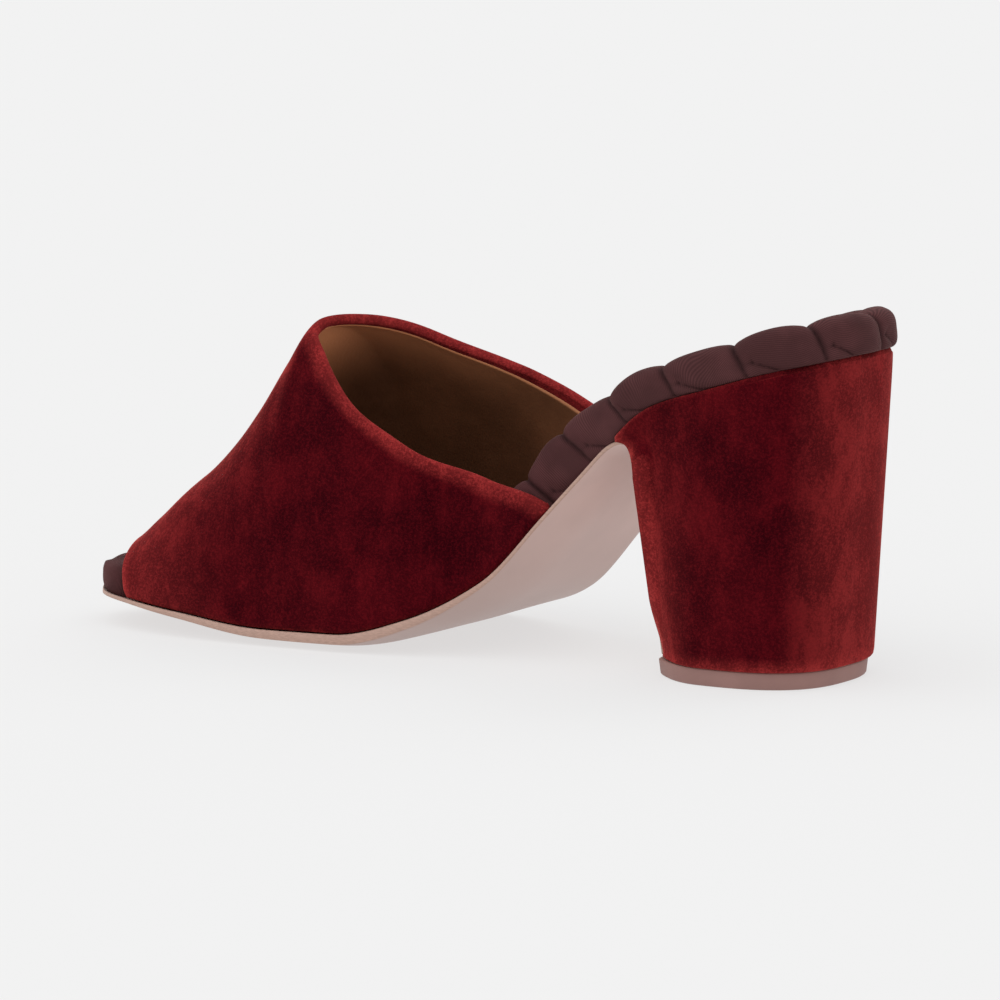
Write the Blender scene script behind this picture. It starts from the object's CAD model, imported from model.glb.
"""Looks of a block heel mule: velvet upper and heel, leather lining and sole, plaited padded rim.

Metres, +Z up. The origin is on the floor under the middle of the heel's tread. The toe points to -X
and the inner side of the foot is at -Y.
"""

import math

import bpy
import numpy as np
from bpy.props import FloatProperty, FloatVectorProperty, PointerProperty
from mathutils import Matrix, Vector


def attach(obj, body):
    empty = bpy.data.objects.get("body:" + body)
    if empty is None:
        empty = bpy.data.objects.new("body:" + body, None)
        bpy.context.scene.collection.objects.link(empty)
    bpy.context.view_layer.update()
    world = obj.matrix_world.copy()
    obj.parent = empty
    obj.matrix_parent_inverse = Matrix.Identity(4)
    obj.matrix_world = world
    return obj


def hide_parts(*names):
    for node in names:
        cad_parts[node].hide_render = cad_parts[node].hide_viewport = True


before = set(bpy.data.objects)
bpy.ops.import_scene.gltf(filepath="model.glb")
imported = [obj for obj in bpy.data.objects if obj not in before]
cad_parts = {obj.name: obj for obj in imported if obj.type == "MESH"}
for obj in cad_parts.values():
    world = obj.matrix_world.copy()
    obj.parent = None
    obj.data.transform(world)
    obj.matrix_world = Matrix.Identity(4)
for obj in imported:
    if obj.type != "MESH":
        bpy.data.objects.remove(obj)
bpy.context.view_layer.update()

bl_info = {
    "name": "Block heel mule",
    "version": (1, 0, 0),
    "blender": (4, 5, 0),
    "location": "3D View > Sidebar > Mule",
    "description": "Builds the pieces and finishes of a block heel mule round its packed frame",
    "category": "Add Mesh",
}

# Shares of the sole's length from the heel, of its half widths and of the toe's swing
OUTLINE = (
    # share, inner, outer, swing
    (0.000, 0.000, 0.000, 0.000),
    (0.014, 0.540, 0.540, -0.020),
    (0.053, 0.855, 0.855, -0.065),
    (0.099, 0.975, 0.975, -0.097),
    (0.160, 1.000, 1.000, -0.105),
    (0.229, 0.950, 0.980, -0.065),
    (0.339, 0.738, 0.955, 0.032),
    (0.459, 0.732, 0.875, 0.121),
    (0.560, 0.918, 0.942, 0.129),
    (0.641, 1.000, 1.000, 0.057),
    (0.731, 0.980, 0.970, -0.146),
    (0.831, 0.897, 0.841, -0.417),
    (0.911, 0.698, 0.625, -0.750),
    (0.959, 0.511, 0.410, -0.933),
    (0.984, 0.270, 0.245, -0.992),
    (1.000, 0.000, 0.000, -1.000),
)
WIDTH_BLEND = (0.285, 0.589)

# Shares of the seat's rise, of the toe spring, of the arch's twist and of the ball's crown
PROFILE = (
    # share, rise, spring, arch, crown
    (0.000, 1.000, 0.00, 0.00, 0.0),
    (0.059, 0.9625, 0.00, 0.00, 0.0),
    (0.139, 0.8950, 0.00, 0.03, 0.0),
    (0.219, 0.8130, 0.00, 0.15, 0.0),
    (0.299, 0.6170, 0.00, 0.55, 0.0),
    (0.380, 0.3660, 0.00, 0.97, 0.0),
    (0.459, 0.1550, 0.00, 0.81, 0.0),
    (0.540, 0.0550, 0.00, 0.31, 0.4),
    (0.625, 0.0000, 0.00, 0.05, 1.0),
    (0.721, 0.0000, 0.00, 0.00, 1.0),
    (0.841, 0.0000, 0.46, 0.00, 1.0),
    (1.000, 0.0000, 1.00, 0.00, 1.0),
)
CROWN_FLAT_SHARE = 0.45
KEEP_BACK = (0.20, 0.30)
KEEP_TOE = (0.80, 0.90)
FIT_GAP = 0.0003

# Height of the rim along the sole
RIM_SWELL = (
    # share of length, share of the rim's height
    (0.000, 1.12),
    (0.040, 1.12),
    (0.100, 1.07),
    (0.170, 1.03),
    (0.235, 1.05),
    (0.280, 1.24),
    (0.320, 1.48),
    (0.365, 1.58),
    (0.430, 1.32),
    (0.490, 1.20),
    (0.736, 1.00),
    (0.840, 0.90),
    (0.905, 0.66),
    (0.940, 0.64),
    (0.970, 0.86),
    (1.000, 0.94),
)
RIM_PROUD_LOSS = 0.75
RIM_PROUD_END = 0.15
RIM_BACK_FADE = (0.318, 0.358)
RIM_TOE_FADE = (0.930, 0.978)
RIM_POWER = 2.5
RIM_UNDER_POWER = 5.0
RIM_SEAT = 0.0003
JOIN_LEAN = 0.12
LOBE_START = -0.09
LOBE_STRETCH = (
    # share of length, length of a lobe as a share of the pitch
    (0.00, 1.28),
    (0.16, 1.26),
    (0.24, 1.00),
    (1.00, 1.00),
)
SMALL_LOBE_TOP = 0.52
SMALL_LOBE_RUN = 0.42
RIB_TURN = (0.05, 0.20)

# Crest of the upper, and its toe and collar edges from the inner side (-1) to the outer one (1)
CREST = (
    # share of length, share of the instep height, side shift as a share of the toe's swing
    (1.000, 0.080, -1.34),
    (0.938, 0.162, -1.27),
    (0.897, 0.265, -1.17),
    (0.871, 0.338, -1.07),
    (0.835, 0.424, -0.97),
    (0.801, 0.531, -0.88),
    (0.768, 0.661, -0.80),
    (0.734, 0.814, -0.73),
    (0.711, 0.904, -0.67),
    (0.687, 0.918, -0.61),
    (0.638, 0.936, -0.54),
    (0.550, 0.948, -0.48),
    (0.363, 1.200, -0.41),
)
CREST_FADE = (0.30, 0.55)
ARCH_POWER = 2.05
TOE_EDGE = (
    # across, share of length
    (-1.00, 0.916),
    (-0.60, 0.930),
    (-0.25, 0.935),
    (0.00, 0.939),
    (0.40, 0.933),
    (1.00, 0.898),
)
COLLAR_EDGE = (
    # across, share of length
    (-1.00, 0.374),
    (-0.80, 0.470),
    (-0.60, 0.573),
    (-0.45, 0.646),
    (-0.30, 0.685),
    (-0.15, 0.709),
    (0.00, 0.706),
    (0.15, 0.671),
    (0.30, 0.619),
    (0.50, 0.519),
    (0.75, 0.427),
    (1.00, 0.364),
)
EDGE_FOLD = 0.0004
FOLD_RUN = 0.008
TUCK_DEPTH = 0.0008
TUCK_HEIGHT = 0.0022
COLLAR_TURN_IN = 0.0026
TOE_TURN_IN = 0.0030

# Heel and the breast of the sole
TREAD_POWER = 2.7
BREAST_WIDTH_SHARE = 0.65
BREAST_CURVE_SHARE = 0.35
SHANK_END_SHARE = 0.302
BREAST_TOP = (-0.0238, 0.0510)
BREAST_TOP_HALF_WIDTH = 0.0246
BREAST_HANDLE = 0.0098
BREAST_GAP = 0.0004
PILE = 0.0004
FLAP_COLUMNS = 0.90
FLAP_THICKNESS = 0.0010
FLAP_INSET = 0.0016
THIN_SPAN = (0.40, 0.60)
STEADY_SHARE = 0.980
FOREPART_TAPER = 0.62
FOREPART_TAPER_SPAN = (0.64, 0.98)
HEEL_LIP = 0.0011
HEEL_LIP_PLACE = 0.30
HEEL_INSET = 0.0002
HEEL_OVERHANG = 0.0006
TOP_PIECE_TAPER = 0.0005
CORNER_SHARE = 0.03
CORNER_WIDTH_SHARE = 0.92
SOLE_END = 0.0012
FOOTBED_END = 0.004
HEEL_END = 0.01

# Finer shape of the soft pieces and of the edges, which the solids leave out
EDGE_STEPS = 1600
SOFT_DEPTH = 0.00022
SOFT_PITCH = 0.022
SOFT_EDGE = 0.01
VELVET_SHARE = 0.55
TURN_IN_STEP = 0.0008
LINING_SHARE = 0.12
LINING_BACK_SHARE = 0.62
LINING_TUCK = 0.0006
RIM_TOE_SPAN = (0.930, 0.975)
RIM_TOE_REACH = 12
RIM_TOE_POWER = 2.0
RIM_TOE_POWER_SPAN = (0.930, 0.985)
CALM_SHARE = 0.9
CALM_SPAN = (0.930, 0.960)
RIB_LEAN = 0.0012
LOBE_FULLNESS = 2.2
MAIN_LOBE_POWER = 0.62
SMALL_LOBE_POWER = 0.5
SMALL_LOBE_RISE = 0.72
CREASE_DEPTH = 0.06
CREASE_WAVES = 55
CREASE_FADE = 16
FOOTBED_TUCK = 0.0004
PAD_ROUND = 0.0014
PAD_RUN = 0.008
EDGE_ROUND = 0.0003
TIP_ROUND = 0.0005
TIP_ROUND_SPAN = (0.88, 0.99)
FLAP_SLIP = 0.0001
FLAP_WRAP = 0.0012
FLAP_WRAP_RATE = 1.5
COVER_START = 0.0012
COVER_PROUD = 0.0007
COVER_RUN = 0.016

# Rounded edges of the top piece: share of its thickness, inset
TOP_PIECE_EDGE = ((0.0, 0.0006), (0.06, 0.0002), (0.14, 0.0), (0.90, 0.0), (0.97, 0.0001), (1.0, 0.0004))

# Distances that stand for how much the velvet's nap is lifted
TOE_WEAR_START = 0.001
TOE_WEAR_RATE = 1.6
INSIDE_WEAR = 0.004
LEAST_WEAR = 0.0008
BACK_WEAR_START = 0.006
BACK_WEAR_RATE = 3.0

# Camera of the photograph
CAMERA_AZIMUTH = 32.393
CAMERA_ELEVATION = 8.781
CAMERA_ROLL = 0.051
CAMERA_DISTANCE = 2.282067
CAMERA_TARGET = (-0.08071, 0.0, 0.037681)
CAMERA_FOCAL_SHARE = 3.895
SENSOR = 36.0


def measure(name, description, default):
    """Length in metres that a user may change."""
    return FloatProperty(name=name, description=description, default=default, precision=5, unit="LENGTH")


def colour(name, description, default):
    """Colour of a finish that a user may change."""
    return FloatVectorProperty(
        name=name, description=description, default=default, size=3, min=0, max=1, subtype="COLOR"
    )


class MuleSizes(bpy.types.PropertyGroup):
    """Sizes of the shoe that its pieces are worked out from."""

    length: measure("Length", "Length of the sole, measured level", 0.2227)
    heel_back: measure("Heel back", "From the tread's middle to the back of the seat", 0.0292)
    seat_rise: measure("Seat rise", "Rise of the seat above the ball", 0.0818)
    toe_spring: measure("Toe spring", "Lift of the toe's tip", 0.0051)
    seat_half_width: measure("Seat half width", "Half of the seat's width", 0.0275)
    ball_inner: measure("Ball, inner side", "From the middle line to the inner edge at the ball", 0.0348)
    ball_outer: measure("Ball, outer side", "From the middle line to the outer edge at the ball", 0.0416)
    toe_swing: measure("Toe swing", "How far the toe turns to the inner side", 0.0120)
    arch_inner_lift: measure("Arch lift", "Lift of the sole's inner edge at the waist", 0.0056)
    arch_outer_drop: measure("Arch drop", "Drop of the sole's outer edge at the waist", 0.0023)
    ball_crown: measure("Ball crown", "Rise of the sole's edges at the ball", 0.0018)
    outsole: measure("Outsole", "Thickness of the outsole", 0.0026)
    wall: measure("Wall", "Thickness of the upper", 0.0023)
    instep: measure("Instep", "Height that the crest is a share of", 0.0860)
    rim_height: measure("Rim height", "Height of the padded rim at the seat", 0.0098)
    rim_width: measure("Rim width", "Width of the padded rim", 0.0095)
    rim_proud: measure("Rim overhang", "How far the rim stands past the heel", 0.0022)
    lobe_pitch: measure("Lobe pitch", "Length of one lobe of the plait", 0.0178)
    lobe_depth: measure("Lobe depth", "Depth of the joins between the lobes", 0.0019)
    footbed: measure("Footbed", "Thickness of the footbed", 0.0076)
    footbed_dish: measure("Footbed dish", "Dip of the footbed's middle", 0.0010)
    tread_length: measure("Tread length", "Length of the heel's tread", 0.0461)
    tread_half_width: measure("Tread half width", "Half of the tread's width", 0.0252)
    top_piece: measure("Top piece", "Thickness of the rubber under the heel", 0.0045)
    rib_pitch: measure("Rib pitch", "Distance between ribs of the plum fabric", 0.00048)


class MuleColours(bpy.types.PropertyGroup):
    """Colours of the finishes."""

    velvet_deep: colour("Velvet, deep", "Velvet seen into the nap", (0.026, 0.0004, 0.0026))
    velvet_brushed: colour("Velvet, brushed", "Velvet where the nap lies over", (0.130, 0.0044, 0.0080))
    velvet_worn: colour("Velvet, lifted", "Nap lifted at edges and folds", (0.42, 0.040, 0.038))
    velvet_sheen: colour("Velvet sheen", "Glow of the nap at its edges", (0.62, 0.13, 0.11))
    plum: colour("Ribbed fabric", "Plum ribbed fabric", (0.082, 0.029, 0.030))
    plum_groove: colour("Rib grooves", "Between the ribs", (0.044, 0.0150, 0.0158))
    lining: colour("Lining", "Tan lining leather", (0.20, 0.080, 0.036))
    sole: colour("Sole leather", "Dusty pink sole leather", (0.64, 0.46, 0.415))
    sole_edge: colour("Sole edge", "Edge dye of the sole", (0.46, 0.29, 0.23))
    rubber: colour("Heel rubber", "Mauve rubber under the heel", (0.30, 0.165, 0.145))


def smooth_curve(xs, ys, x):
    """Monotone cubic through the given values."""
    xs = np.asarray(xs, float)
    ys = np.asarray(ys, float)
    x = np.clip(np.asarray(x, float), xs[0], xs[-1])
    h = np.diff(xs)
    d = np.diff(ys) / h
    m = np.zeros_like(ys)
    m[0] = d[0]
    m[-1] = d[-1]
    for i in range(1, len(xs) - 1):
        if d[i - 1] * d[i] > 0:
            w1 = 2 * h[i] + h[i - 1]
            w2 = h[i] + 2 * h[i - 1]
            m[i] = (w1 + w2) / (w1 / d[i - 1] + w2 / d[i])
    k = np.clip(np.searchsorted(xs, x, side="right") - 1, 0, len(xs) - 2)
    u = (x - xs[k]) / h[k]
    a = (1 + 2 * u) * (1 - u) ** 2
    b = u * (1 - u) ** 2
    c = u * u * (3 - 2 * u)
    e = u * u * (u - 1)
    return a * ys[k] + b * h[k] * m[k] + c * ys[k + 1] + e * h[k] * m[k + 1]


def column(table, index):
    return np.array([row[index] for row in table], float)


def ease(x):
    x = np.clip(x, 0.0, 1.0)
    return x * x * (3 - 2 * x)


def ramp(x, span):
    """Smooth rise from 0 to 1 between the two ends of a span."""
    return ease((x - span[0]) / (span[1] - span[0]))


def turn(share):
    """Share of the length as a share of the way round a half circle, so that ends come out round."""
    return np.arccos(1 - 2 * np.clip(share, 0.0, 1.0)) / math.pi


def stations(count, start, end):
    """Shares of the length, closer together towards the rounded ends."""
    steps = np.linspace(turn(start), turn(end), count)
    return (1 - np.cos(np.clip(steps, 0, 1) * math.pi)) / 2


def lumps(points, pitch, seed):
    """Smooth waves between -1 and 1 over points in space, the same each run."""
    rng = np.random.default_rng(seed)
    total = np.zeros(points.shape[:-1])
    for _ in range(7):
        way = rng.normal(size=3)
        way /= np.linalg.norm(way)
        total += np.sin(points @ way * (2 * math.pi / (pitch * rng.uniform(0.7, 1.5))) + rng.uniform(0, 6.28))
    return total / 4


class Last:
    """Form that the shoe is made over: outline, bed, breast and edges, from the sizes."""

    def __init__(self, size):
        self.size = size

    def share_at(self, x):
        return (self.size.heel_back - x) / self.size.length

    def x_at(self, share):
        return self.size.heel_back - share * self.size.length

    def outline(self, share):
        """Middle line and the two half widths of the sole at a share of its length."""
        size = self.size
        place = turn(share)
        nodes = turn(column(OUTLINE, 0))
        blend = ramp(share, WIDTH_BLEND)
        inner = size.seat_half_width + (size.ball_inner - size.seat_half_width) * blend
        outer = size.seat_half_width + (size.ball_outer - size.seat_half_width) * blend
        inner = inner * smooth_curve(nodes, column(OUTLINE, 1), place)
        outer = outer * smooth_curve(nodes, column(OUTLINE, 2), place)
        return size.toe_swing * smooth_curve(column(OUTLINE, 0), column(OUTLINE, 3), share), inner, outer

    def bed_height(self, x, y):
        """Height of the face between the outsole and the footbed."""
        size = self.size
        share = self.share_at(x)
        middle, inner, outer = self.outline(share)
        side = y - middle
        t = np.clip(np.where(side < 0, side / np.maximum(inner, 1e-5), side / np.maximum(outer, 1e-5)), -1, 1)
        nodes = column(PROFILE, 0)
        rise = size.seat_rise * smooth_curve(nodes, column(PROFILE, 1), share)
        spring = size.toe_spring * smooth_curve(nodes, column(PROFILE, 2), share)
        arch = smooth_curve(nodes, column(PROFILE, 3), share)
        crown = size.ball_crown * smooth_curve(nodes, column(PROFILE, 4), share)
        twist = np.where(t < 0, size.arch_inner_lift, -size.arch_outer_drop) * arch * t * t
        edge = np.clip((np.abs(t) - CROWN_FLAT_SHARE) / (1 - CROWN_FLAT_SHARE), 0, 1)
        return size.outsole + rise + spring + twist + crown * edge ** 2

    def bed_normal(self, x):
        step = 0.002
        middle = self.outline(self.share_at(x))[0]
        slope = (self.bed_height(x + step, middle) - self.bed_height(x - step, middle)) / (2 * step)
        run = np.sqrt(1 + slope ** 2)
        return -slope / run, 1 / run

    def lay(self, x, y, height):
        """Point at a height above the bed, which keeps its place across the sole as the bed tilts."""
        x = np.asarray(x, float)
        y = np.asarray(y, float)
        nx, nz = self.bed_normal(np.maximum(x, self.x_at(STEADY_SHARE)))
        moved = x + nx * height
        share = self.share_at(x)
        middle, inner, outer = self.outline(share)
        middle2, inner2, outer2 = self.outline(self.share_at(moved))
        side = y - middle
        scale = np.where(side < 0, inner2 / np.maximum(inner, 1e-5), outer2 / np.maximum(outer, 1e-5))
        kept = middle2 + side * scale
        hold = ramp(share, KEEP_BACK) * (1 - ramp(share, KEEP_TOE))
        return np.stack([moved, y + (kept - y) * hold, self.bed_height(x, y) + nz * height], -1)

    def edge_loop(self, count):
        """Edge of the sole in plan at even steps all round: heel, inner side, toe, outer side."""
        share = stations(count, 0.0, 1.0)
        middle, inner, outer = self.outline(share)
        x = self.x_at(share)
        points = np.vstack([np.stack([x, middle - inner], 1), np.stack([x, middle + outer], 1)[::-1][1:]])
        run = np.concatenate([[0], np.cumsum(np.linalg.norm(np.diff(points, axis=0), axis=1))])
        where = np.arange(count) / count * run[-1]
        points = np.stack([np.interp(where, run, points[:, k]) for k in (0, 1)], 1)
        window = max(1, int(0.0025 / (run[-1] / count)))
        ahead = np.roll(points, -window, axis=0) - np.roll(points, window, axis=0)
        ahead /= np.linalg.norm(ahead, axis=1, keepdims=True)
        out = np.stack([ahead[:, 1], -ahead[:, 0]], 1)
        if out[count // 4, 1] > 0:
            out = -out
        return points, out, self.share_at(points[:, 0])

    def rim_inset(self, share):
        inside = self.size.wall + EDGE_FOLD + FIT_GAP
        proud = self.size.rim_proud * (1 - RIM_PROUD_LOSS * ease(share / RIM_PROUD_END))
        return -proud + (inside + proud) * ramp(share, RIM_BACK_FADE) * (1 - ramp(share, RIM_TOE_FADE))

    def rim_height(self, share):
        return self.size.rim_height * smooth_curve(column(RIM_SWELL, 0), column(RIM_SWELL, 1), share)

    def arch_point(self, share, t):
        """Outer face of the upper at a share of the length and a place round the arch, -1 to 1."""
        size = self.size
        x = self.x_at(share)
        middle, inner, outer = self.outline(share)
        nodes = column(CREST, 0)[::-1]
        height = size.instep * smooth_curve(nodes, column(CREST, 1)[::-1], share)
        crest = size.toe_swing * smooth_curve(nodes, column(CREST, 2)[::-1], share)
        crest = middle + (crest - middle) * ramp(share, CREST_FADE)
        angle = np.abs(t) * math.pi / 2
        reach = np.sin(angle) ** (2 / ARCH_POWER)
        rise = height * np.cos(angle) ** (2 / ARCH_POWER)
        edge = np.where(t < 0, middle - inner, middle + outer)
        tuck = TUCK_DEPTH * np.clip(1 - rise / TUCK_HEIGHT, 0, 1) ** 2
        y = crest + (edge - crest) * reach - np.sign(t) * tuck
        return np.stack([x, y, self.bed_height(x, edge) + FIT_GAP + rise], -1)

    def breast_path(self, turn_rows, flap_rows):
        """Middle line of the outsole's upper face, from the shank's end round and down the breast."""
        size = self.size
        x0 = self.x_at(SHANK_END_SHARE)
        middle = self.outline(SHANK_END_SHARE)[0]
        nx, nz = self.bed_normal(x0)
        start = np.array([x0, float(self.bed_height(x0, middle))])
        end = np.array(BREAST_TOP)
        foot = np.array([-size.tread_length / 2 + FLAP_THICKNESS, size.top_piece + 2 * FIT_GAP])
        down = (foot - end) / np.linalg.norm(foot - end)
        one = start + BREAST_HANDLE * np.array([float(nz), -float(nx)])
        two = end - BREAST_HANDLE * down
        u = np.linspace(0, 1, turn_rows + 1)[1:, None]
        turned = (1 - u) ** 3 * start + 3 * u * (1 - u) ** 2 * one + 3 * u * u * (1 - u) * two + u ** 3 * end
        v = np.linspace(0, 1, flap_rows + 1)[1:, None]
        share = np.concatenate([u[:, 0], np.ones(flap_rows)])
        wide = BREAST_TOP_HALF_WIDTH - FLAP_INSET / 2
        narrow = BREAST_WIDTH_SHARE * size.tread_half_width - FLAP_INSET
        half = np.concatenate([np.full(turn_rows, wide), wide + (narrow - wide) * v[:, 0]])
        return np.vstack([turned, end + (foot - end) * v]), share, half

    def flap_side(self, place, turned, half):
        """Half width of the outsole past the shank's end, on the side that a place across it is on."""
        inner, outer = self.outline(SHANK_END_SHARE)[1:]
        start = np.where(place < 0, inner, outer)
        return start + (half - start) * ease(turned)

    def shank_twist(self, place):
        """Height of the shank's end above its middle line, at places across it from -1 to 1."""
        place = np.clip(place, -1, 1)
        x0 = self.x_at(SHANK_END_SHARE)
        middle, inner, outer = self.outline(SHANK_END_SHARE)
        y = middle + np.where(place < 0, place * inner, place * outer)
        return self.bed_height(x0, y) - self.bed_height(x0, middle)

    def tread_half_width(self, q):
        back = np.clip((q - BREAST_CURVE_SHARE) / (1 - BREAST_CURVE_SHARE), 0, 1)
        width = self.size.tread_half_width * (1 - back ** TREAD_POWER) ** (1 / TREAD_POWER)
        front = np.clip(1 - q / BREAST_CURVE_SHARE, 0, 1)
        return width * (1 - (1 - BREAST_WIDTH_SHARE) * front ** 2)


def path_normals(points):
    """Upper-side normals of a path in the side view that runs from the toe towards the heel."""
    step = np.gradient(points, axis=0)
    step = step / np.linalg.norm(step, axis=1, keepdims=True)
    return np.stack([-step[:, 1], step[:, 0]], 1)


def add_piece(name, verts, faces, materials, replaces=(), second=None, marks=None):
    """Object of one closed mesh that rides on the body, with its finish and UV marks."""
    mesh = bpy.data.meshes.new(name)
    mesh.from_pydata(np.asarray(verts).reshape(-1, 3).tolist(), [], faces)
    mesh.validate()
    mesh.shade_smooth()
    for material in materials:
        mesh.materials.append(material)
    if second is not None:
        mesh.polygons.foreach_set("material_index", np.asarray(second, np.int32))
    if marks is not None:
        layer = mesh.uv_layers.new(name="marks")
        loops = np.zeros(len(mesh.loops), np.int32)
        mesh.loops.foreach_get("vertex_index", loops)
        layer.data.foreach_set("uv", np.asarray(marks, np.float32).reshape(-1, 2)[loops].ravel())
    bpy.context.view_layer.update()
    piece = bpy.data.objects.new(name, mesh)
    bpy.context.scene.collection.objects.link(piece)
    if signed_volume(mesh) < 0:
        mesh.flip_normals()
    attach(piece, "root")
    if replaces:
        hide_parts(*replaces)
    return piece


def signed_volume(mesh):
    mesh.calc_loop_triangles()
    co = np.zeros(len(mesh.vertices) * 3)
    mesh.vertices.foreach_get("co", co)
    co = co.reshape(-1, 3)
    tri = np.zeros(len(mesh.loop_triangles) * 3, np.int32)
    mesh.loop_triangles.foreach_get("vertices", tri)
    a, b, c = co[tri[0::3]], co[tri[1::3]], co[tri[2::3]]
    return float(np.einsum("ij,ij->i", a, np.cross(b, c)).sum() / 6)


def stacked_body(levels):
    """Closed body from a bottom grid, a top grid and the outlines between, and which faces are wall."""
    rows, cols = levels[0].shape[:2]
    ring = [(i, 0) for i in range(rows)]
    ring += [(rows - 1, j) for j in range(1, cols)]
    ring += [(i, cols - 1) for i in range(rows - 2, -1, -1)]
    ring += [(0, j) for j in range(cols - 2, 0, -1)]
    verts = []
    faces = []
    index = []
    for n, level in enumerate(levels):
        full = n in (0, len(levels) - 1)
        places = [(i, j) for i in range(rows) for j in range(cols)] if full else ring
        index.append({place: len(verts) + k for k, place in enumerate(places)})
        verts += [level[place] for place in places]
    for i in range(rows - 1):
        for j in range(cols - 1):
            a, b, c, d = (i, j), (i + 1, j), (i + 1, j + 1), (i, j + 1)
            faces.append([index[0][p] for p in (a, b, c, d)])
            faces.append([index[-1][p] for p in (d, c, b, a)])
    flat = len(faces)
    for low, high in zip(index[:-1], index[1:]):
        for a, b in zip(ring, ring[1:] + ring[:1]):
            faces.append([low[b], low[a], high[a], high[b]])
    return np.array(verts), faces, np.arange(len(faces)) >= flat


def skin_of_loops(loops, closed=False):
    """Faces over closed loops of points, with their two end loops capped unless the row closes."""
    count, around = loops.shape[:2]
    faces = []
    for i in range(count if closed else count - 1):
        ahead = (i + 1) % count
        for k in range(around):
            near = (k + 1) % around
            faces.append([i * around + k, i * around + near, ahead * around + near, ahead * around + k])
    if not closed:
        last = (count - 1) * around
        faces.append(list(range(around))[::-1])
        faces.append(list(range(last, last + around)))
    return faces


def even_spacing(count, gather):
    """Shares from 0 to 1, closer together at both ends."""
    u = np.linspace(0, 1, count)
    return gather * (1 - np.cos(math.pi * u)) / 2 + (1 - gather) * u


def upper_grid(last, across, along):
    """Outer face of the upper with its outward normals, and each point's way from the collar and toe."""
    t = even_spacing(across + 1, 0.5) * 2 - 1
    toe = smooth_curve(column(TOE_EDGE, 0), column(TOE_EDGE, 1), t)
    collar = smooth_curve(column(COLLAR_EDGE, 0), column(COLLAR_EDGE, 1), t)
    v = even_spacing(along + 1, 0.6)
    share = toe[:, None] + (collar - toe)[:, None] * v[None, :]
    outer = last.arch_point(share, np.broadcast_to(t[:, None], share.shape))
    normal = np.cross(np.gradient(outer, axis=0), np.gradient(outer, axis=1))
    normal /= np.linalg.norm(normal, axis=2, keepdims=True)
    if normal[across // 2, along // 2, 2] < 0:
        normal = -normal
    for row in (0, -1):
        normal[row, :, 2] = 0.0
        normal[row] /= np.linalg.norm(normal[row], axis=1, keepdims=True)
    step = np.linalg.norm(np.diff(outer, axis=1), axis=2)
    from_toe = np.concatenate([np.zeros((across + 1, 1)), np.cumsum(step, axis=1)], 1)
    return outer, normal, from_toe[:, -1:] - from_toe, from_toe


def kept_on_bed(last, loops):
    """Loops of a wall, with the two end ones lifted to just above the bed."""
    loops = np.array(loops)
    for row in (0, -1):
        bed = last.bed_height(loops[row, :, 0], loops[row, :, 1])
        loops[row, :, 2] = np.maximum(loops[row, :, 2], bed + FIT_GAP)
    return loops


def build_velvet_upper(size, colours):
    """Velvet of the upper: outer face, rolled edges and the turn-in inside them."""
    last = Last(size)
    across, along, arc_steps = 190, 96, 9
    outer, normal, from_collar, from_toe = upper_grid(last, across, along)
    soft = SOFT_DEPTH * lumps(outer, SOFT_PITCH, 5) * ease(np.minimum(from_collar, from_toe) / SOFT_EDGE)
    outer = outer + normal * np.minimum(soft, 0.0)[..., None]
    fold = EDGE_FOLD * (ease(1 - from_toe / FOLD_RUN) + ease(1 - from_collar / FOLD_RUN))
    by_collar = ease(1 - (from_collar - COLLAR_TURN_IN) / TURN_IN_STEP)
    by_toe = ease(1 - (from_toe - TOE_TURN_IN) / TURN_IN_STEP)
    turned_in = np.maximum(by_collar, by_toe)
    depth = (size.wall + fold) * (VELVET_SHARE + (1 - VELVET_SHARE) * turned_in)
    inner = outer - normal * depth[..., None]
    loops = []
    arc = np.linspace(0, math.pi, arc_steps + 2)[1:-1]
    for i in range(across + 1):
        parts = [outer[i]]
        ends = []
        for j, sign in ((along, 1), (0, -1)):
            ahead = outer[i, j] - outer[i, j - sign]
            ahead = ahead / np.linalg.norm(ahead)
            centre = (outer[i, j] + inner[i, j]) / 2
            radius = depth[i, j] / 2
            swing = np.cos(arc)[:, None] * normal[i, j] + np.sin(arc)[:, None] * ahead
            ends.append(centre + radius * swing)
        parts += [ends[0], inner[i][::-1], ends[1][::-1]]
        loops.append(np.vstack(parts))
    loops = kept_on_bed(last, loops)
    marks = np.zeros(loops.shape[:2] + (2,))
    marks[:, :along + 1, 0] = np.minimum(from_collar, from_toe * TOE_WEAR_RATE + TOE_WEAR_START)
    marks[:, :along + 1, 1] = from_toe
    marks[:, along + 1 + arc_steps:2 * (along + 1) + arc_steps, 0] = INSIDE_WEAR
    return add_piece("velvet_upper", loops, skin_of_loops(loops), [velvet_material(colours)],
                     ("upper",), marks=marks)


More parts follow.
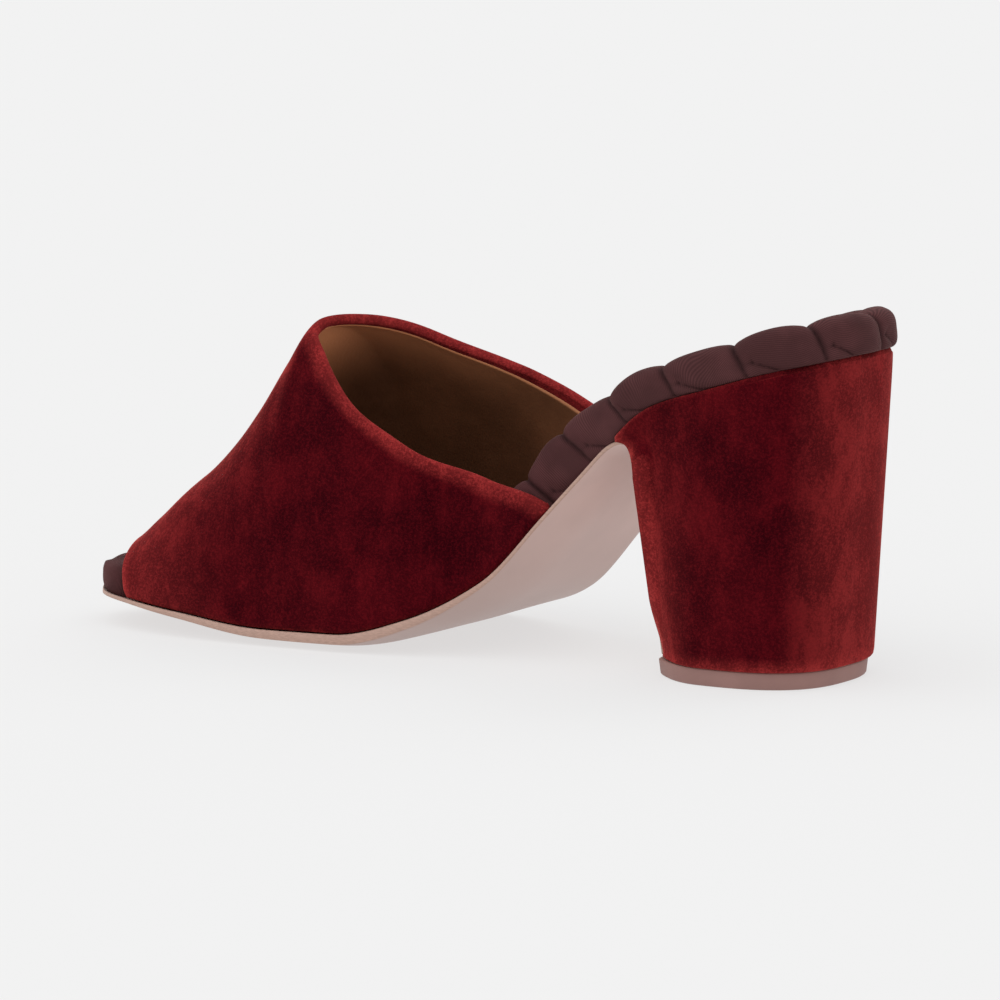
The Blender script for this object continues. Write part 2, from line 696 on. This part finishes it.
def build_lining(size, colours):
    """Tan leather inside the upper, which starts just below the velvet's turn-in."""
    last = Last(size)
    across, along = 150, 90
    outer, normal, from_collar, from_toe = upper_grid(last, across, along)
    loops = []
    marks = []
    thin = LINING_SHARE * size.wall
    for i in range(across + 1):
        total = from_collar[i, 0]
        run = total - TOE_TURN_IN - COLLAR_TURN_IN + 2 * LINING_TUCK
        where = TOE_TURN_IN - LINING_TUCK + run * even_spacing(along, 0.5)
        point = np.stack([np.interp(where, from_toe[i], outer[i, :, k]) for k in range(3)], 1)
        way = np.stack([np.interp(where, from_toe[i], normal[i, :, k]) for k in range(3)], 1)
        back = point - way * (LINING_BACK_SHARE * size.wall)
        near_edge = np.minimum(where - where[0], where[-1] - where)
        fold = EDGE_FOLD * (ease(1 - where / FOLD_RUN) + ease(1 - (total - where) / FOLD_RUN))
        face = point - way * (size.wall + fold + thin * ease(near_edge / LINING_TUCK))[:, None]
        loops.append(np.vstack([back, face[::-1]]))
        far = np.stack([total - where, np.full(along, i / across)], 1)
        marks.append(np.vstack([far, far[::-1]]))
    loops = kept_on_bed(last, loops)
    return add_piece("leather_lining", loops, skin_of_loops(loops), [lining_material(colours)],
                     marks=np.array(marks))


def build_rim(size, colours):
    """Plaited padded rim round the footbed: main lobes, with a small lobe under each join."""
    last = Last(size)
    points, out, shares = last.edge_loop(EDGE_STEPS)
    outer = points - out * last.rim_inset(shares)[:, None]
    base = np.stack([outer[:, 0], outer[:, 1], last.bed_height(outer[:, 0], outer[:, 1])], 1)
    closed = np.vstack([base, base[:1]])
    steps_between = np.linalg.norm(np.diff(closed, axis=0), axis=1)
    stretch = smooth_curve(column(LOBE_STRETCH, 0), column(LOBE_STRETCH, 1), shares)
    along = np.concatenate([[0], np.cumsum(steps_between / stretch)])
    lobes = int(round(along[-1] / size.lobe_pitch))
    steps, around_steps = 34, 52
    count = lobes * steps
    where = np.arange(count) / count * along[-1]
    table = np.column_stack([outer, out, shares])
    table = np.vstack([table, table[:1]])
    ox, oy, nx, ny, share = [np.interp(where, along, table[:, k]) for k in range(5)]
    distance = np.interp(where, along, np.concatenate([[0], np.cumsum(steps_between)]))
    at_toe = ramp(share, RIM_TOE_SPAN)
    ox, oy, nx, ny = [line + (rounded_run(line, RIM_TOE_REACH) - line) * at_toe for line in (ox, oy, nx, ny)]
    flat = np.hypot(nx, ny)
    nx, ny = nx / flat, ny / flat
    height = last.rim_height(share)
    calm = 1 - CALM_SHARE * ramp(share, CALM_SPAN)
    angle = (np.arange(around_steps) + 0.5) / around_steps * 2 * math.pi
    crown = RIM_POWER + (RIM_TOE_POWER - RIM_POWER) * ramp(share, RIM_TOE_POWER_SPAN)
    power = np.where(np.sin(angle) > 0, crown[:, None], RIM_UNDER_POWER)
    across = np.sign(np.cos(angle)) * np.abs(np.cos(angle)) ** (2 / power)
    level = np.sign(np.sin(angle)) * np.abs(np.sin(angle)) ** (2 / power)
    phase = np.arange(count)[:, None] / steps - LOBE_START
    dip, face = lobe_relief(phase, level, across)
    turned = ramp(share, RIB_TURN) * math.pi / 2
    run = np.cumsum(np.sin(turned) * np.gradient(distance))
    lean = RIB_LEAN * np.sin(2 * math.pi * phase)
    ribs = run[:, None] + lean + np.cos(turned)[:, None] * face * height[:, None]
    marks = np.stack([ribs, dip], -1)
    dip = size.lobe_depth * dip * calm[:, None]
    side = -size.rim_width / 2 + (size.rim_width / 2 - dip) * across
    up = height[:, None] / 2 - RIM_SEAT + (height[:, None] / 2 - dip * (level > 0)) * level
    x = ox[:, None] + nx[:, None] * side
    y = oy[:, None] + ny[:, None] * side
    verts = last.lay(x, y, up)
    piece = add_piece("plaited_rim", verts, skin_of_loops(verts, closed=True),
                      [ribbed_material(size, colours)], ("footbed_rim",), marks=marks)
    return piece


def rounded_run(values, reach):
    """A closed run of values, each one the mean of those round it."""
    return np.mean([np.roll(values, step) for step in range(-reach, reach + 1)], axis=0)


def lobe_relief(phase, level, across):
    """How far each point of the rim sinks between lobes, and its way up the outer face and over."""
    face = np.where(across > 0, (level + 1) / 2, 1 + (1 - level) / 2)
    place = phase + JOIN_LEAN * (1 - face)
    u = place - np.floor(place)
    end = np.where(face < SMALL_LOBE_TOP, 1 - SMALL_LOBE_RUN * (1 - face / SMALL_LOBE_TOP), 1.0)
    in_small = u > end
    a = np.clip(u / end, 0, 1)
    b = np.clip((u - end) / np.maximum(1 - end, 1e-4), 0, 1)
    main = np.clip(1 - np.abs(2 * a - 1) ** LOBE_FULLNESS, 0, 1) ** MAIN_LOBE_POWER
    small = np.clip(1 - np.abs(2 * b - 1) ** LOBE_FULLNESS, 0, 1) ** SMALL_LOBE_POWER
    small = small * SMALL_LOBE_RISE * np.clip(1.1 - face / SMALL_LOBE_TOP, 0, 1)
    dip = 1 - np.where(in_small, small, main)
    beside = np.abs(u - np.round(u))
    crease = CREASE_DEPTH * np.sin(beside * CREASE_WAVES) * np.exp(-beside * CREASE_FADE)
    dip = dip + crease * np.clip(1.2 - np.abs(face - 0.5), 0, 1)
    dip = dip * np.clip((1.8 - face) / 0.3, 0, 1) * np.clip(0.25 + face / 0.08, 0, 1)
    return dip, np.broadcast_to(face, dip.shape)


def build_footbed(size, colours):
    """Ribbed footbed inside the rim."""
    last = Last(size)
    points, out, shares = last.edge_loop(EDGE_STEPS)
    inner = points - out * (last.rim_inset(shares) + size.rim_width - FOOTBED_TUCK)[:, None]
    toe = int(np.argmax(shares))
    first = inner[:toe + 1]
    second = np.vstack([inner[:1], inner[toe:][::-1]])
    place = even_spacing(200, 0.6) * (1 - 2 * FOOTBED_END) + FOOTBED_END
    left = np.stack([np.interp(place, np.linspace(0, 1, len(first)), first[:, k]) for k in (0, 1)], 1)
    right = np.stack([np.interp(place, np.linspace(0, 1, len(second)), second[:, k]) for k in (0, 1)], 1)
    t = even_spacing(49, 0.7)
    x = left[:, None, 0] + (right[:, None, 0] - left[:, None, 0]) * t
    y = left[:, None, 1] + (right[:, None, 1] - left[:, None, 1]) * t
    low = last.lay(x, y, FIT_GAP)
    reach = np.minimum(t, 1 - t)[None, :] * np.linalg.norm(right - left, axis=1)[:, None]
    pad = PAD_ROUND * (ease(reach / PAD_RUN) - 1)
    dish = size.footbed_dish * (1 - (2 * t - 1) ** 2)[None, :]
    thick = size.footbed * np.minimum(1.0, last.rim_height(last.share_at(x)) / size.rim_height)
    high = last.lay(x, y, FIT_GAP + thick - dish + pad)
    verts, faces, _ = stacked_body([low, high])
    marks = np.stack([verts[:, 1], np.zeros(len(verts))], -1)
    piece = add_piece("ribbed_footbed", verts, faces, [ribbed_material(size, colours)],
                      ("footbed",), marks=marks)
    return piece


def build_outsole(size, colours):
    """Leather outsole from toe to shank, round the turn and down the breast of the heel."""
    last = Last(size)
    share = stations(170, SHANK_END_SHARE, 1 - SOLE_END)[::-1]
    t = even_spacing(25, 0.55) * 2 - 1
    s, tt = np.meshgrid(share, t, indexing="ij")
    middle, inner, outer = last.outline(s)
    x = last.x_at(s)
    y = middle + np.where(tt < 0, tt * inner, tt * outer)
    top = np.stack([x, y, last.bed_height(x, y)], -1)
    line_x = last.x_at(share)
    line = np.stack([line_x, last.bed_height(line_x, middle[:, 0])], 1)
    path, turned, half = last.breast_path(40, 50)
    normal = path_normals(np.vstack([line, path]))
    steady = int(np.argmax(share < STEADY_SHARE))
    normal[:steady] = normal[steady]
    taper = 1 - FOREPART_TAPER * ramp(share, FOREPART_TAPER_SPAN)
    thick = FLAP_THICKNESS + (size.outsole * taper - FLAP_THICKNESS) * ramp(share, THIN_SPAN)
    thick = np.concatenate([thick, np.full(len(path), FLAP_THICKNESS)])
    end_middle = float(middle[-1, 0])
    rows = []
    for (px, pz), u, wide in zip(path, turned, half):
        lift = 1 - ease(u)
        row_y = end_middle * lift + t * last.flap_side(t, u, wide)
        rows.append(np.stack([np.full_like(t, px), row_y, pz + last.shank_twist(t) * lift], 1))
    top = np.concatenate([top, np.array(rows)], 0)
    under = top.copy()
    under[..., 0] -= normal[:, None, 0] * thick[:, None]
    under[..., 2] -= normal[:, None, 1] * thick[:, None]
    under[:len(share), :, 2] = np.maximum(under[:len(share), :, 2], 0.0)
    under[-1, :, 2] = top[-1, :, 2]
    centre = top.mean(1, keepdims=True)
    width = np.linalg.norm(top - centre, axis=2, keepdims=True)
    pull = np.clip(1 - EDGE_ROUND / np.maximum(width, 0.0008), 0, 1)
    rounding = np.concatenate([TIP_ROUND * ramp(share, TIP_ROUND_SPAN), np.zeros(len(path))])[:, None, None]
    low_pull = np.clip(1 - (EDGE_ROUND + rounding) / np.maximum(width, 0.0030), 0, 1)
    inset_top = centre + (top - centre) * pull
    inset_top[..., 2] = top[..., 2]
    low_centre = under.mean(1, keepdims=True)
    inset_under = low_centre + (under - low_centre) * low_pull
    inset_under[..., 2] = under[..., 2]
    inset_under[..., 0] += rounding[..., 0]
    slope = np.gradient(line[:, 1], line[:, 0])
    inset_under[:len(share), :, 2] += rounding[:len(share), :, 0] * slope[:, None]
    levels = [inset_under, *(under + (top - under) * rise for rise in (0.14, 0.5, 0.9)), inset_top]
    verts, faces, wall = stacked_body(levels)
    return add_piece("leather_outsole", verts, faces, [sole_material(colours), sole_edge_material(colours)],
                     ("outsole",), second=wall.astype(int))


def build_heel(size, colours):
    """Velvet block heel, which follows the seat above and the breast of the sole in front."""
    last = Last(size)
    q = np.sin(np.linspace(0, 1 - HEEL_END, 61) * math.pi / 2)
    t = even_spacing(41, 0.3) * 2 - 1
    turn_rows = 40
    path, turned, flap_half = last.breast_path(turn_rows, 60)
    normal = path_normals(path)
    lip = int(round(turn_rows * HEEL_LIP_PLACE))
    front = (path + normal * BREAST_GAP)[lip:-1][::-1]
    turned = turned[lip:-1][::-1]
    flap_half = flap_half[lip:-1][::-1]
    normal = normal[lip:-1][::-1]
    beside = np.abs(t) > FLAP_COLUMNS
    end_middle = float(last.outline(SHANK_END_SHARE)[0])
    base = size.top_piece + FIT_GAP / 3
    rise = (np.maximum.accumulate(front[:, 1]) - base) / (front[:, 1].max() - base)
    low_front = -size.tread_length / 2 + FLAP_THICKNESS + BREAST_GAP
    low_back = size.tread_length / 2 + HEEL_OVERHANG
    top_front = front[-1, 0]
    top_back = size.heel_back - 2 * HEEL_INSET
    x_top = top_front + q * (top_back - top_front)
    middle, inner, outer = last.outline(last.share_at(x_top))
    half_top = np.where(t[None, :] < 0, inner[:, None], outer[:, None]) - HEEL_INSET
    half_low = last.tread_half_width(q) + HEEL_OVERHANG * ease(q / BREAST_CURVE_SHARE)
    half_low[0] *= CORNER_WIDTH_SHARE
    half_low = half_low[:, None]
    top = last.lay(x_top[:, None] + 0 * t, middle[:, None] + t * half_top, -HEEL_INSET)
    x_low = low_front + q * (low_back - low_front)
    levels = []
    for height, inset in ((base, 0.0004), (base + 0.0002, 0.0), (base + 0.0007, -PILE)):
        scale = 1 - inset / size.tread_half_width
        x = x_low[:, None] * scale + 0 * t
        levels.append(np.stack([x, t * half_low * scale, np.full_like(half_top, height)], -1))
    for (front_x, front_z), (out_x, out_z), up, u, wide in zip(front, normal, rise, turned, flap_half):
        if front_z < base + COVER_START:
            continue
        back = low_back + (top_back - low_back) * up
        x = (front_x + q * (back - front_x))[:, None] + 0 * t
        y = middle[:, None] * up + t * (half_low + (half_top - half_low) * up)
        z = base + (top[..., 2] - HEEL_LIP - base) * up
        lift = 1 - ease(u)
        flap = last.flap_side(t, u, wide)
        past = (np.abs(t) - FLAP_COLUMNS) / (1 - FLAP_COLUMNS)
        edge = flap + FIT_GAP
        reach = np.abs(t) * (flap + FLAP_WRAP * ease(FLAP_WRAP_RATE * u))
        y[:2] = np.sign(t) * np.maximum(np.abs(y[:2]), reach)
        behind_flap = end_middle * lift + t / FLAP_COLUMNS * (flap + FLAP_SLIP)
        y[0] = np.where(beside, y[0] * past + np.sign(t) * edge * (1 - past), behind_flap)
        x = x + PILE * q[:, None]
        y = y + PILE * np.sign(t) * np.abs(t) ** 3 * ease(q / BREAST_CURVE_SHARE)[:, None]
        z[0] = front_z + last.shank_twist(y[0] / flap) * lift
        cover = (BREAST_GAP + FLAP_THICKNESS + COVER_PROUD) * ease(u)
        cover = cover * ease((front_z - base) / COVER_RUN) * beside
        x[0] -= out_x * cover
        z[0] -= out_z * cover
        levels.append(np.stack([x, y, z], -1))
    levels.append(top)
    verts, faces, _ = stacked_body(levels)
    behind = verts[:, 0] - np.interp(verts[:, 2], front[:, 1], front[:, 0])
    from_edge = np.minimum(np.maximum(behind, LEAST_WEAR), verts[:, 2] - base + LEAST_WEAR)
    back_x = np.interp(verts[:, 2], [base, top[..., 2].max()], [low_back, top_back])
    from_back = BACK_WEAR_START + BACK_WEAR_RATE * (back_x - verts[:, 0])
    return add_piece("velvet_heel", verts, faces, [velvet_material(colours)], ("heel_block",),
                     marks=np.stack([from_edge, from_back], 1))


def build_top_piece(size, colours):
    """Rubber piece under the heel, tapered a little and rounded at its edges."""
    last = Last(size)
    q = np.sin(np.linspace(0, 1 - HEEL_END, 61) * math.pi / 2)
    q = np.concatenate([[0.0, CORNER_SHARE * 0.4, CORNER_SHARE], q[1:][q[1:] > CORNER_SHARE]])
    t = even_spacing(21, 0.3) * 2 - 1
    x = -size.tread_length / 2 + q * size.tread_length
    half = last.tread_half_width(q)
    half[0] *= CORNER_WIDTH_SHARE
    levels = []
    for share, inset in TOP_PIECE_EDGE:
        scale = 1 - (2 * TOP_PIECE_TAPER * (1 - share) + 2 * inset) / size.tread_length
        levels.append(np.stack([x[:, None] * scale + 0 * t, t * half[:, None] * scale,
                                np.full((len(q), len(t)), share * size.top_piece)], -1))
    verts, faces, _ = stacked_body(levels)
    return add_piece("rubber_top_piece", verts, faces, [rubber_material(colours)],
                     ("top_piece",))


class Finish:
    """Node tree of one material, built by short calls."""

    def __init__(self, name, color, roughness):
        self.material = bpy.data.materials.new(name)
        self.material.use_nodes = True
        self.tree = self.material.node_tree
        self.shader = self.tree.nodes["Principled BSDF"]
        self.shader.inputs["Base Color"].default_value = (*color, 1.0)
        self.shader.inputs["Roughness"].default_value = roughness

    def node(self, kind, **inputs):
        made = self.tree.nodes.new(kind)
        for key, value in inputs.items():
            made.inputs[key.replace("_", " ")].default_value = value
        return made

    def link(self, source, target):
        self.tree.links.new(source, target)

    def place(self, scale=(1000.0, 1000.0, 1000.0), turn_by=(0.0, 0.0, 0.0)):
        """Object coordinates in millimetres times a scale."""
        where = self.tree.nodes.new("ShaderNodeTexCoord")
        mapping = self.tree.nodes.new("ShaderNodeMapping")
        mapping.inputs["Scale"].default_value = scale
        mapping.inputs["Rotation"].default_value = turn_by
        self.link(where.outputs["Object"], mapping.inputs["Vector"])
        return mapping.outputs["Vector"]

    def noise(self, where, scale, detail=2.0, roughness=0.5, distortion=0.0):
        made = self.node("ShaderNodeTexNoise", Scale=scale, Detail=detail, Roughness=roughness)
        made.inputs["Distortion"].default_value = distortion
        self.link(where, made.inputs["Vector"])
        return made.outputs["Fac"]

    def spread(self, value, low, high, to_low=0.0, to_high=1.0):
        made = self.tree.nodes.new("ShaderNodeMapRange")
        made.inputs["From Min"].default_value = low
        made.inputs["From Max"].default_value = high
        made.inputs["To Min"].default_value = to_low
        made.inputs["To Max"].default_value = to_high
        made.interpolation_type = "SMOOTHSTEP"
        self.link(value, made.inputs["Value"])
        return made.outputs["Result"]

    def mix(self, share, first, second):
        made = self.tree.nodes.new("ShaderNodeMix")
        made.data_type = "RGBA"
        self.link(share, made.inputs["Factor"])
        for value, socket in ((first, made.inputs[6]), (second, made.inputs[7])):
            if isinstance(value, bpy.types.NodeSocket):
                self.link(value, socket)
            else:
                socket.default_value = (*value, 1.0)
        return made.outputs[2]

    def sums(self, kind, first, second):
        made = self.tree.nodes.new("ShaderNodeMath")
        made.operation = kind
        for value, socket in ((first, made.inputs[0]), (second, made.inputs[1])):
            if isinstance(value, bpy.types.NodeSocket):
                self.link(value, socket)
            else:
                socket.default_value = value
        return made.outputs[0]

    def times(self, first, second):
        return self.sums("MULTIPLY", first, second)

    def plus(self, first, second):
        return self.sums("ADD", first, second)

    def parts(self, vector):
        """The X, Y and Z of a vector."""
        made = self.tree.nodes.new("ShaderNodeSeparateXYZ")
        self.link(vector, made.inputs["Vector"])
        return made.outputs

    def marks(self):
        """The two measures that a piece keeps at each of its points."""
        layer = self.tree.nodes.new("ShaderNodeUVMap")
        layer.uv_map = "marks"
        return self.parts(layer.outputs["UV"])

    def gloss(self, **values):
        """Values of the shader's own sockets."""
        for key, value in values.items():
            self.shader.inputs[key.replace("_", " ")].default_value = value

    def bump(self, height, distance, strength=1.0):
        made = self.node("ShaderNodeBump", Strength=strength, Distance=distance)
        self.link(height, made.inputs["Height"])
        self.link(made.outputs["Normal"], self.shader.inputs["Normal"])

    def color(self, socket):
        self.link(socket, self.shader.inputs["Base Color"])


def scaled(color, share):
    return tuple(min(1.0, value * share) for value in color)


def velvet_material(colours):
    """Short pile: deep where one looks into it, brighter where it is brushed over or seen edge-on."""
    if "velvet_pile" in bpy.data.materials:
        return bpy.data.materials["velvet_pile"]
    look = Finish("velvet_pile", colours.velvet_deep, 0.95)
    where = look.place()
    along_nap = look.place((1000.0, 1000.0, 500.0), (0.4, 0.5, 0.2))
    patches = look.spread(look.noise(where, 0.045, 3.0, 0.6, 0.4), 0.36, 0.68)
    strokes = look.spread(look.noise(along_nap, 0.17, 4.0, 0.65), 0.40, 0.70)
    speck = look.spread(look.noise(where, 1.5, 3.0, 0.85), 0.42, 0.66)
    brushed = look.plus(look.times(patches, 0.24), look.times(strokes, 0.30))
    brushed = look.plus(brushed, look.times(speck, 0.42))
    nap = look.mix(brushed, colours.velvet_deep, colours.velvet_brushed)
    mark = look.marks()
    toeward = look.times(look.spread(mark["Y"], 0.004, 0.036, 1.0, 0.0), 0.34)
    toeward = look.times(toeward, look.spread(brushed, 0.1, 0.6, 0.45, 1.0))
    nap = look.mix(toeward, nap, colours.velvet_worn)
    lively = look.spread(brushed, 0.15, 0.75, 0.35, 1.0)
    worn = look.times(look.spread(mark["X"], 0.0, 0.0052, 1.0, 0.0), lively)
    nap = look.mix(look.times(worn, 0.75), nap, colours.velvet_worn)
    facing = look.node("ShaderNodeLayerWeight", Blend=0.5).outputs["Facing"]
    nap = look.mix(look.times(look.sums("POWER", facing, 1.9), lively), nap, colours.velvet_worn)
    nap = look.mix(look.times(look.sums("POWER", facing, 9.0), lively), nap, colours.velvet_sheen)
    look.color(nap)
    look.bump(look.plus(look.noise(where, 3.5, 2.0), look.noise(where, 1.1, 2.0)), 0.00025, 0.8)
    look.gloss(Specular_IOR_Level=0.03, Sheen_Weight=0.06, Sheen_Roughness=0.25)
    look.gloss(Sheen_Tint=(*colours.velvet_sheen, 1.0))
    return look.material


def ribbed_material(size, colours):
    """Fine ribs that follow the marks of the piece, with a weave across them."""
    if "ribbed_plum" in bpy.data.materials:
        return bpy.data.materials["ribbed_plum"]
    look = Finish("ribbed_plum", colours.plum, 0.82)
    where = look.place()
    mark = look.marks()
    wander = look.times(look.sums("SUBTRACT", look.noise(where, 0.11, 1.0), 0.5), 0.0012)
    across = look.plus(mark["X"], wander)
    wave = look.sums("SINE", look.times(across, 2 * math.pi / size.rib_pitch), 0.0)
    rib = look.spread(wave, -0.9, 0.9, 0.35, 1.0)
    patches = look.spread(look.noise(where, 0.09, 2.0, 0.6), 0.35, 0.7)
    top = look.mix(patches, scaled(colours.plum, 0.85), scaled(colours.plum, 1.25))
    woven = look.mix(rib, colours.plum_groove, top)
    join = look.spread(mark["Y"], 0.50, 1.05)
    look.color(look.mix(join, woven, scaled(colours.plum_groove, 0.45)))
    look.bump(look.plus(rib, look.times(look.noise(where, 3.5, 2.0), 0.7)), 0.00009, 0.7)
    look.gloss(Specular_IOR_Level=0.1, Sheen_Weight=0.12, Sheen_Roughness=0.3)
    look.gloss(Sheen_Tint=(0.80, 0.42, 0.36, 1.0))
    return look.material


def lining_material(colours):
    """Tan leather, lighter in a band under the collar's crest and along its top edge."""
    look = Finish("lining_leather", colours.lining, 0.5)
    where = look.place()
    mark = look.marks()
    patches = look.spread(look.noise(where, 0.05, 3.0, 0.6), 0.3, 0.75)
    side = look.spread(mark["Y"], 0.50, 0.74, 1.0, 0.05)
    band = look.times(look.spread(mark["X"], 0.0020, 0.0420, 1.0, 0.0), side)
    lip = look.spread(mark["X"], 0.0024, 0.0031, 0.55, 0.0)
    leather = look.mix(patches, scaled(colours.lining, 0.58), scaled(colours.lining, 0.88))
    leather = look.mix(band, leather, scaled(colours.lining, 3.8))
    look.color(look.mix(lip, leather, scaled(colours.lining, 4.2)))
    creases = look.spread(look.noise(look.place((1000.0, 400.0, 1000.0)), 0.12, 2.0, 0.5), 0.3, 0.7)
    look.bump(look.plus(look.noise(where, 1.1, 3.0, 0.6), look.times(creases, 1.5)), 0.0002, 0.4)
    look.gloss(Specular_IOR_Level=0.2)
    return look.material


def sole_material(colours):
    """Dusty pink leather, a little darker from the waist forward."""
    look = Finish("sole_leather", colours.sole, 0.42)
    where = look.place()
    patches = look.spread(look.noise(where, 0.035, 3.0, 0.55), 0.3, 0.75)
    leather = look.mix(patches, scaled(colours.sole, 0.95), scaled(colours.sole, 1.08))
    forward = look.spread(look.parts(look.place((1.0, 1.0, 1.0)))["X"], -0.085, -0.040, 1.0, 0.0)
    look.color(look.mix(forward, leather, scaled(colours.sole, 0.70)))
    look.bump(look.noise(where, 1.4, 4.0, 0.65), 0.00008, 0.35)
    look.gloss(Specular_IOR_Level=0.35)
    return look.material


def sole_edge_material(colours):
    """Tan edge dye over the cut fibres of the sole."""
    look = Finish("sole_edge_dye", colours.sole_edge, 0.5)
    fibre = look.noise(look.place((1000.0, 1000.0, 4000.0)), 0.8, 3.0, 0.6)
    dark, light = scaled(colours.sole_edge, 0.88), scaled(colours.sole_edge, 1.1)
    look.color(look.mix(look.spread(fibre, 0.3, 0.7), dark, light))
    look.bump(fibre, 0.00008, 0.4)
    return look.material


def rubber_material(colours):
    """Mauve rubber of the top piece."""
    look = Finish("heel_rubber", colours.rubber, 0.6)
    where = look.place()
    patches = look.spread(look.noise(where, 0.08, 3.0, 0.6), 0.3, 0.75)
    look.color(look.mix(patches, scaled(colours.rubber, 0.94), scaled(colours.rubber, 1.05)))
    look.bump(look.noise(where, 2.2, 3.0, 0.6), 0.00006, 0.3)
    look.gloss(Specular_IOR_Level=0.3)
    return look.material


def build_camera():
    """Camera at the photograph's place, turned and set as it was."""
    azimuth, elevation, roll = (math.radians(a) for a in (CAMERA_AZIMUTH, CAMERA_ELEVATION, CAMERA_ROLL))
    level = math.cos(elevation)
    back = Vector((math.sin(azimuth) * level, -math.cos(azimuth) * level, math.sin(elevation)))
    right = Vector((math.cos(azimuth), math.sin(azimuth), 0))
    up = back.cross(right)
    right, up = right * math.cos(roll) + up * math.sin(roll), up * math.cos(roll) - right * math.sin(roll)
    place = Vector(CAMERA_TARGET) + back * CAMERA_DISTANCE
    camera = bpy.data.objects.new("camera", bpy.data.cameras.new("camera"))
    camera.matrix_world = Matrix(((right.x, up.x, back.x, place.x), (right.y, up.y, back.y, place.y),
                                  (right.z, up.z, back.z, place.z), (0, 0, 0, 1)))
    camera.data.sensor_width = SENSOR
    camera.data.lens = CAMERA_FOCAL_SHARE * CAMERA_DISTANCE * SENSOR
    camera.data.clip_start = 0.05
    camera.data.clip_end = 40
    bpy.context.scene.collection.objects.link(camera)
    bpy.context.scene.camera = camera


def soft_sun(name, way, spread, strength):
    """Broad soft light from a direction, the same all over the floor."""
    lamp = bpy.data.lights.new(name, "SUN")
    lamp.angle = math.radians(spread)
    lamp.energy = strength
    made = bpy.data.objects.new(name, lamp)
    made.rotation_euler = Vector(way).to_track_quat("Z", "Y").to_euler()
    bpy.context.scene.collection.objects.link(made)


def build_stage():
    """Pale floor, soft studio light and the photograph's camera."""
    mesh = bpy.data.meshes.new("floor")
    reach = 6.0
    corners = [(-reach, -reach, 0), (reach, -reach, 0), (reach, reach, 0), (-reach, reach, 0)]
    mesh.from_pydata(corners, [], [(0, 1, 2, 3)])
    floor = bpy.data.objects.new("floor", mesh)
    bpy.context.scene.collection.objects.link(floor)
    look = Finish("pale_floor", (0.25, 0.25, 0.25), 0.9)
    look.gloss(Emission_Color=(1.0, 1.0, 1.0, 1.0), Emission_Strength=0.62, Specular_IOR_Level=0.0)
    mesh.materials.append(look.material)
    world = bpy.data.worlds.new("studio")
    world.use_nodes = True
    light = world.node_tree.nodes["Background"]
    light.inputs["Color"].default_value = (1.0, 1.0, 1.0, 1.0)
    light.inputs["Strength"].default_value = 0.80
    bpy.context.scene.world = world
    bpy.context.scene.view_settings.view_transform = "Standard"
    soft_sun("key", (-0.35, -0.6, 1.0), 80.0, 0.75)
    soft_sun("back", (0.2, 0.9, 0.8), 40.0, 0.35)
    build_camera()


def settings(context):
    return context.scene.mule_sizes, context.scene.mule_colours


class MULE_OT_stage(bpy.types.Operator):
    """Set the floor, the light and the camera"""

    bl_idname = "mule.stage"
    bl_label = "Stage"

    def execute(self, context):
        build_stage()
        return {"FINISHED"}


class MULE_OT_upper(bpy.types.Operator):
    """Build the velvet upper and its leather lining"""

    bl_idname = "mule.upper"
    bl_label = "Upper and lining"

    def execute(self, context):
        build_velvet_upper(*settings(context))
        build_lining(*settings(context))
        return {"FINISHED"}


class MULE_OT_footbed(bpy.types.Operator):
    """Build the ribbed footbed and its plaited rim"""

    bl_idname = "mule.footbed"
    bl_label = "Footbed and rim"

    def execute(self, context):
        build_footbed(*settings(context))
        build_rim(*settings(context))
        return {"FINISHED"}


class MULE_OT_outsole(bpy.types.Operator):
    """Build the leather outsole"""

    bl_idname = "mule.outsole"
    bl_label = "Outsole"

    def execute(self, context):
        build_outsole(*settings(context))
        return {"FINISHED"}


class MULE_OT_heel(bpy.types.Operator):
    """Build the velvet heel and the rubber piece under it"""

    bl_idname = "mule.heel"
    bl_label = "Heel and top piece"

    def execute(self, context):
        build_heel(*settings(context))
        build_top_piece(*settings(context))
        return {"FINISHED"}


class MULE_PT_panel(bpy.types.Panel):
    """Sizes, colours and pieces of the mule"""

    bl_idname = "MULE_PT_panel"
    bl_label = "Block heel mule"
    bl_space_type = "VIEW_3D"
    bl_region_type = "UI"
    bl_category = "Mule"

    def draw(self, context):
        for group in settings(context):
            box = self.layout.box()
            for name in group.__annotations__:
                box.prop(group, name)
        for operator in OPERATORS:
            self.layout.operator(operator.bl_idname)


OPERATORS = (MULE_OT_stage, MULE_OT_outsole, MULE_OT_heel, MULE_OT_footbed, MULE_OT_upper)
CLASSES = (MuleSizes, MuleColours, *OPERATORS, MULE_PT_panel)


def register():
    for cls in CLASSES:
        bpy.utils.register_class(cls)
    bpy.types.Scene.mule_sizes = PointerProperty(type=MuleSizes)
    bpy.types.Scene.mule_colours = PointerProperty(type=MuleColours)


def unregister():
    del bpy.types.Scene.mule_colours
    del bpy.types.Scene.mule_sizes
    for cls in reversed(CLASSES):
        bpy.utils.unregister_class(cls)


def main():
    register()
    bpy.ops.mule.stage()
    bpy.ops.mule.outsole()
    bpy.ops.mule.heel()
    bpy.ops.mule.footbed()
    bpy.ops.mule.upper()
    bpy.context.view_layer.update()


if __name__ == "__main__":
    main()
